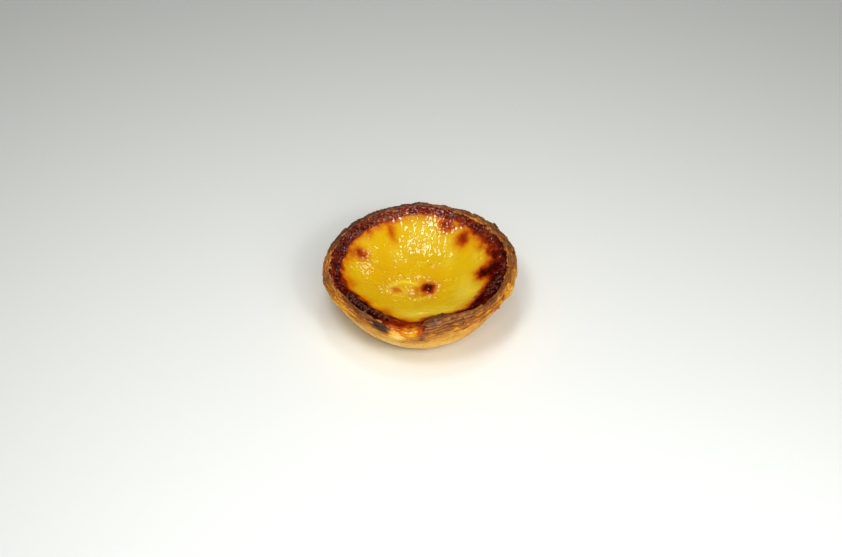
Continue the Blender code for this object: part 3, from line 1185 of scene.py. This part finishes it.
position = graph.node("GeometryNodeInputPosition")
settings = {"operation": "SCALE"}
sockets = {0: position, "Scale": 1000.0}
where = graph.node("ShaderNodeVectorMath", settings, sockets)
lump = noise(graph, where, 1.4, 2.0).output("Color")
settings = {"operation": "MULTIPLY_ADD"}
sockets = {0: lump, 1: (0.0009, 0.0009, 0.0007), 2: (-0.00045, -0.00045, -0.00035)}
shove = graph.node("ShaderNodeVectorMath", settings, sockets)
sockets = {"Geometry": flakes, "Offset": shove}
flakes = graph.node("GeometryNodeSetPosition", None, sockets)
position = graph.node("GeometryNodeInputPosition")
sockets = {"Geometry": flakes, "Position": kept_in_box(graph, position)}
end_shape(graph, graph.node("GeometryNodeSetPosition", None, sockets), pastry)

flaky = 0.8 * patch(shell.data, 5, 60.0, 1.6, 2.6) + 0.3 * patch(shell.data, 0, 400, 1.5, 2.4)
flaky += 0.3 * patch(shell.data, 220, 30.0, -1.0, 2.0)
flaky *= 1.0 - patch(shell.data, 268, 26.0, 0.0, 5.0)
flakes = scattered("pastry_flakes", shell, flaky, graph, FLAKES, pastry)
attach(flakes, "root")

# ---------------------------------------------------------------------------------------
# The table, the light and the camera. A plain pale table, with one soft light hanging
# over it and a wide pale fill from the front.
# ---------------------------------------------------------------------------------------

TABLE_HALF = 1.6
table_mesh = bpy.data.meshes.new("table")
table_mesh.from_pydata(
    [
        (-TABLE_HALF, -TABLE_HALF, -0.0002),
        (TABLE_HALF, -TABLE_HALF, -0.0002),
        (TABLE_HALF, TABLE_HALF, -0.0002),
        (-TABLE_HALF, TABLE_HALF, -0.0002),
    ],
    [],
    [(0, 1, 2, 3)],
)
table = bpy.data.objects.new("table", table_mesh)
bpy.context.scene.collection.objects.link(table)
table_top, graph, shader = new_material("pale table", {"Roughness": 0.45})
shader.inputs["Base Color"].default_value = paint(241, 243, 240)
table_mesh.materials.append(table_top)


def studio_light(name, place, aim, size, power, mirrored):
    """A round lamp. A big one lights softly; only some are mirrored in wet surfaces."""
    lamp = bpy.data.lights.new(name, "AREA")
    lamp.shape = "DISK"
    lamp.size = size
    lamp.energy = power
    light = bpy.data.objects.new(name, lamp)
    bpy.context.scene.collection.objects.link(light)
    light.location = place
    light.visible_glossy = mirrored
    away = np.array(place) - np.array(aim)
    turn = math.atan2(away[1], away[0]) + math.pi / 2
    tilt = math.atan2(math.hypot(away[0], away[1]), away[2])
    light.rotation_euler = (tilt, 0.0, turn)


KEY_PLACE = (-0.079, -0.148, 0.382)
FILL_PLACE = (0.200, -0.320, 0.360)
studio_light("key", KEY_PLACE, (-0.024, -0.044, 0.0), 0.11, 0.47, True)
studio_light("soft_key", KEY_PLACE, (-0.024, -0.044, 0.0), 0.50, 0.52, False)
studio_light("fill", FILL_PLACE, (0.0, 0.0, 0.0), 0.40, 1.06, False)
studio_light("fill_bulb", FILL_PLACE, (0.0, 0.0, 0.0), 0.09, 0.38, True)
studio_light("top", (0.010, 0.040, 0.450), (0.0, 0.0, 0.0), 0.09, 0.20, True)
studio_light("front", (0.030, -0.500, 0.160), (0.0, 0.0, 0.010), 0.40, 0.38, False)

# Two small lamps stand behind the tart and show only as glints on its wet skin
for name, place in (("glint_back", (0.03, 0.36, 0.34)), ("glint_right", (0.27, 0.22, 0.36))):
    studio_light(name, place, (0.0, 0.0, 0.015), 0.09, 0.10, True)
    bpy.data.objects[name].visible_diffuse = False

world = bpy.data.worlds.new("pale room")
bpy.context.scene.world = world
world.use_nodes = True
sky = world.node_tree.nodes["Background"]
sky.inputs["Color"].default_value = (1.0, 1.0, 0.90, 1.0)
sky.inputs["Strength"].default_value = 0.11

# The camera looks down at the tart through a long lens from the front
LENS = 75.0
SENSOR = 36.0
DISTANCE = 0.705
ELEVATION = math.radians(42.5)
AIM_HEIGHT = 0.020
SLIDE_RIGHT = 0.00044
SLIDE_UP = -0.0034

lens = bpy.data.cameras.new("camera")
lens.lens = LENS
lens.sensor_width = SENSOR
lens.clip_start = 0.01
camera = bpy.data.objects.new("camera", lens)
bpy.context.scene.collection.objects.link(camera)
back = np.array([0.0, -math.cos(ELEVATION), math.sin(ELEVATION)])
upward = np.array([0.0, math.sin(ELEVATION), math.cos(ELEVATION)])
camera.location = (
    np.array([0.0, 0.0, AIM_HEIGHT])
    + back * DISTANCE
    + upward * SLIDE_UP
    + np.array([SLIDE_RIGHT, 0.0, 0.0])
)
camera.rotation_euler = (math.pi / 2 - ELEVATION, 0.0, 0.0)
bpy.context.scene.camera = camera
bpy.context.scene.view_settings.view_transform = "Standard"
